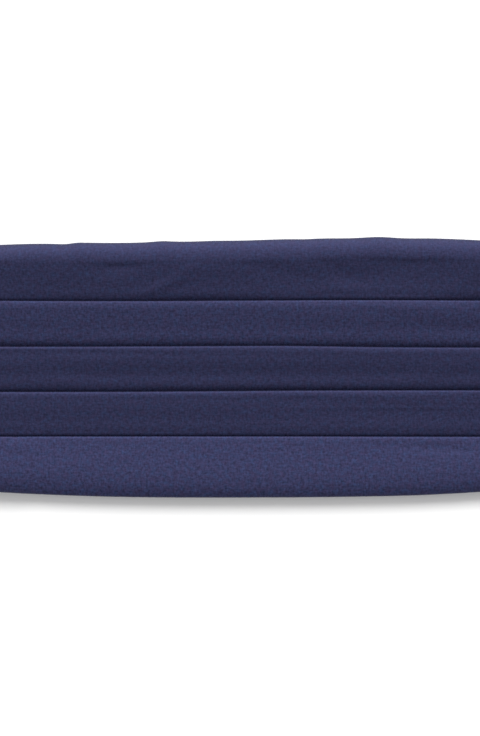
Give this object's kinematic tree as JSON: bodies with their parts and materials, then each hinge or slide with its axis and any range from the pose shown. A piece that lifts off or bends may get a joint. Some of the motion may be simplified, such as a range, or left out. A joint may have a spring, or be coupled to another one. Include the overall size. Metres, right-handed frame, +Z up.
{
  "type": "cummerbund",
  "caption": "Pleated cloth cummerbund, fastened behind by straps and a clasp and lying face up; the pleats open towards its top edge.",
  "frame": {"origin": "on the surface it lies on, under the middle of the whole", "axes": "+X along the length, +Y towards the edge that is worn uppermost, +Z up through the pleated front"},
  "size_m": [0.4676, 0.1217, 0.0118],
  "materials": {
    "pleated_cloth": "matte woven, soft sheen",
    "plain_cloth": "matte woven",
    "webbing": "ribbed narrow weave",
    "clasp_metal": "plated, satin"
  },
  "bodies": {
    "root": {"pleated_panel": "pleated_cloth", "end_tab_left": "plain_cloth", "end_tab_right": "plain_cloth", "strap_left": "webbing", "strap_right": "webbing", "clasp": "clasp_metal"}
  },
  "joints": []
}
